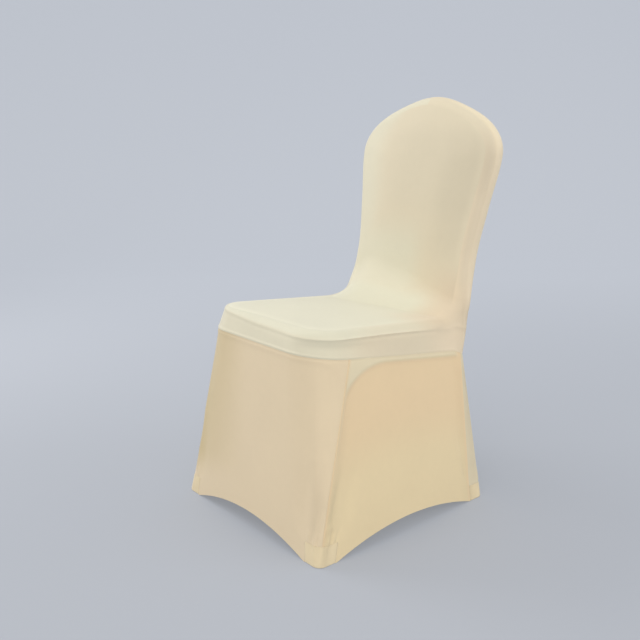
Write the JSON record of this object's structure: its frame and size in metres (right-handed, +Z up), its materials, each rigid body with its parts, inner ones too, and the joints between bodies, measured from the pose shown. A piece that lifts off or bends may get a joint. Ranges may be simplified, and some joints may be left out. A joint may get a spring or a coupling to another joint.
{
  "type": "stretch chair cover",
  "caption": "Plain cream stretch cover for a banquet chair with a rounded crown back, an arched hem and a foot pocket at each leg; the chair and the sash are left out.",
  "frame": {"origin": "the point under the cloth at the top of the crown, where the chair's backrest holds the cover up", "axes": "+Z up, the sitter faces -Y, +X to the sitter's left; the feet are at Z = -0.943"},
  "size_m": [0.504, 0.6075, 0.945],
  "materials": {
    "seat_cloth": "cream stretch knit, matt with a soft sheen",
    "back_cloth": "cream stretch knit, matt with a soft sheen",
    "skirt_cloth": "cream stretch knit, matt with a soft sheen",
    "pocket_cloth": "doubled cream stretch knit, matt"
  },
  "bodies": {
    "root": {"inside_back_and_seat": "seat_cloth", "outside_back": "back_cloth", "front_skirt": "skirt_cloth", "side_skirt_left": "skirt_cloth", "side_skirt_right": "skirt_cloth", "front_pocket_left": "pocket_cloth", "front_pocket_right": "pocket_cloth", "rear_pocket_left": "pocket_cloth", "rear_pocket_right": "pocket_cloth"}
  },
  "joints": []
}
